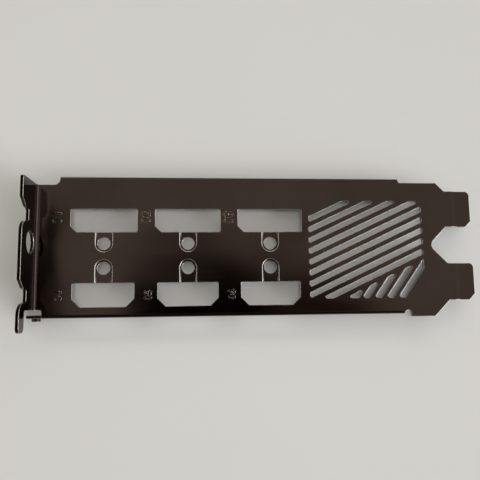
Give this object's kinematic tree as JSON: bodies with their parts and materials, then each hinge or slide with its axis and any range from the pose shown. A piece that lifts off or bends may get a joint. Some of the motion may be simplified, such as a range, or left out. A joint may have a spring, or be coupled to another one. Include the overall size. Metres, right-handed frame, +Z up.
{
  "type": "graphics card bracket",
  "caption": "Folded steel slot bracket for an expansion card, with a notched screw flange, connector openings, a slanted-slot vent and two tongues.",
  "frame": {"origin": "centre of the bounding box's footprint, on the plane of the lips' feet", "axes": "+X along the plate from the screw flange to the tongues, +Y across the plate towards the plain lip, +Z up out of the plate's outer face, the way the flange is folded"},
  "size_m": [0.1214, 0.0408, 0.0174],
  "materials": {
    "plated_steel": "glossy black nickel plate"
  },
  "bodies": {
    "root": {"bracket_sheet": "plated_steel"}
  },
  "joints": []
}
